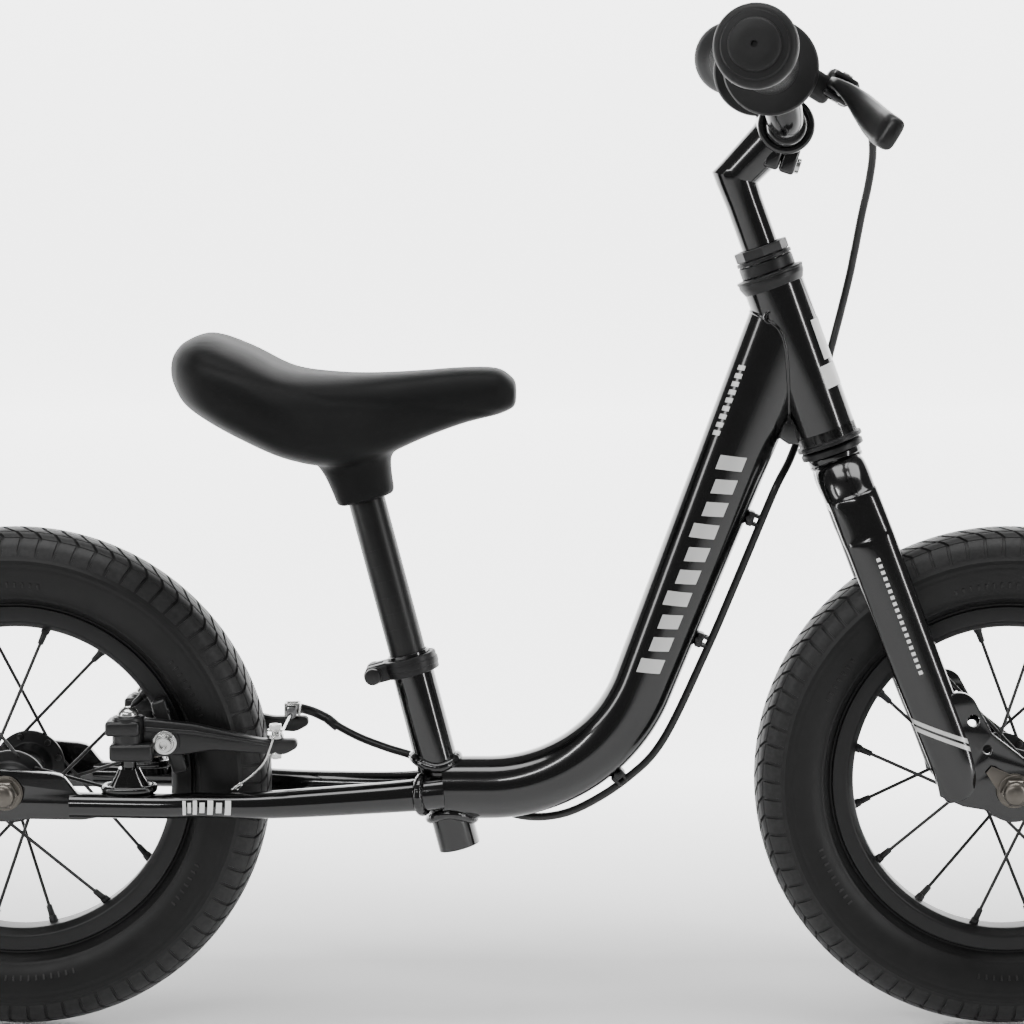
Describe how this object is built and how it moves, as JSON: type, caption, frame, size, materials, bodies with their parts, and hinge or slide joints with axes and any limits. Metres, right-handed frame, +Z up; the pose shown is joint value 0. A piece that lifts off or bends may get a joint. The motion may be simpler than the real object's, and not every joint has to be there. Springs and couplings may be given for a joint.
{
  "type": "balance bike",
  "caption": "Child balance bike with a curved main tube, padded saddle, steered fork, spoked wheels and a hand lever working a rear rim brake.",
  "frame": {"origin": "on the ground, midway between the two axles in the centre plane", "axes": "+X towards the front wheel, +Y towards the rider's left, +Z up"},
  "size_m": [0.906, 0.376, 0.6132],
  "materials": {
    "black_paint": "gloss black paint",
    "black_alloy": "satin black anodised",
    "tyre_rubber": "matte black rubber with block tread",
    "grip_rubber": "matte black soft rubber",
    "saddle_skin": "fine grained black skin foam",
    "brake_plastic": "satin black moulded plastic",
    "bright_steel": "bright zinc plate",
    "dark_steel": "dark oiled steel",
    "housing_skin": "smooth black cable sleeve"
  },
  "bodies": {
    "frame": {"down_tube": "black_paint", "seat_tube": "black_paint", "head_tube": "black_paint", "stay_right": "black_paint", "stay_left": "black_paint", "brake_boss_right": "black_paint", "brake_boss_left": "black_paint", "pivot_bolt_right": "bright_steel", "pivot_bolt_left": "bright_steel", "upper_cup": "black_alloy", "lower_cup": "black_alloy", "seat_clamp": "black_alloy", "seat_clamp_bolt": "black_alloy", "cable_clip_1": "brake_plastic", "cable_clip_2": "brake_plastic", "cable_clip_3": "brake_plastic", "housing_lower": "housing_skin", "rear_axle": "dark_steel", "rear_nut_right": "dark_steel", "rear_nut_left": "dark_steel"},
    "seat": {"saddle": "saddle_skin", "seatpost": "black_paint"},
    "fork": {"fork_steerer": "black_paint", "fork_blade_right": "black_paint", "fork_blade_left": "black_paint", "fork_dropout_right": "black_paint", "fork_dropout_left": "black_paint", "crown_race": "black_alloy", "adjusting_race": "black_alloy", "headset_locknut": "black_alloy", "front_axle": "dark_steel", "front_nut_right": "dark_steel", "front_nut_left": "dark_steel", "housing_upper": "housing_skin"},
    "bar": {"stem": "black_paint", "stem_wedge": "black_alloy", "expander_bolt": "black_alloy", "stem_clamp_bolt": "black_alloy", "handlebar": "black_paint", "grip_right": "grip_rubber", "grip_left": "grip_rubber", "lever_bracket": "brake_plastic", "barrel_adjuster": "brake_plastic", "lever_pin": "bright_steel"},
    "lever": {"brake_lever": "brake_plastic"},
    "front_wheel": {"front_tyre": "tyre_rubber", "front_rim": "black_alloy", "front_hub": "black_alloy"},
    "rear_wheel": {"rear_tyre": "tyre_rubber", "rear_rim": "black_alloy", "rear_hub": "black_alloy"},
    "right_arm": {"brake_arm_right": "brake_plastic", "brake_pad_right": "brake_plastic", "anchor_bolt": "bright_steel"},
    "left_arm": {"brake_arm_left": "brake_plastic", "brake_pad_left": "brake_plastic", "noodle": "bright_steel", "noodle_link": "bright_steel"},
    "wire": {"brake_wire": "bright_steel"}
  },
  "joints": [
    {"name": "steering", "type": "hinge", "parent": "frame", "child": "fork", "pos_m": [0.26993, 0, 0.14205], "axis": [-0.342, 0, 0.9397], "range_deg": [-60, 60]},
    {"name": "stem_height", "type": "slide", "parent": "fork", "child": "bar", "axis": [-0.342, 0, 0.9397], "range_m": [-0.03, 0.025]},
    {"name": "brake_lever_pull", "type": "hinge", "parent": "bar", "child": "lever", "pos_m": [0.19074, -0.076, 0.56809], "axis": [-0.517, 0, -0.856], "range_deg": [0, 22], "stiffness_Nm_per_rad": 0.6, "springref_deg": -20.05},
    {"name": "seat_height", "type": "slide", "parent": "frame", "child": "seat", "axis": [-0.2504, 0, 0.9681], "range_m": [-0.06, 0.035]},
    {"name": "front_wheel_spin", "type": "hinge", "parent": "fork", "child": "front_wheel", "pos_m": [0.3, 0, 0.153], "axis": [0, 1, 0], "continuous": true},
    {"name": "rear_wheel_spin", "type": "hinge", "parent": "frame", "child": "rear_wheel", "pos_m": [-0.3, 0, 0.153], "axis": [0, 1, 0], "continuous": true},
    {"name": "right_arm_swing", "type": "hinge", "parent": "frame", "child": "right_arm", "pos_m": [-0.228, -0.04, 0.1816], "axis": [0, 0, 1], "range_deg": [0, 3.6]},
    {"name": "left_arm_swing", "type": "hinge", "parent": "frame", "child": "left_arm", "pos_m": [-0.228, 0.04, 0.1816], "axis": [0, 0, 1], "range_deg": [-3.6, 0]},
    {"name": "wire_swing", "type": "hinge", "parent": "right_arm", "child": "wire", "pos_m": [-0.137, -0.037, 0.1867], "axis": [0, 0, 1], "range_deg": [-3.6, 0]}
  ],
  "couplings": [
    {"joint": "right_arm_swing", "follows": "brake_lever_pull", "ratio": 0.16},
    {"joint": "left_arm_swing", "follows": "brake_lever_pull", "ratio": -0.16},
    {"joint": "wire_swing", "follows": "brake_lever_pull", "ratio": -0.16}
  ]
}
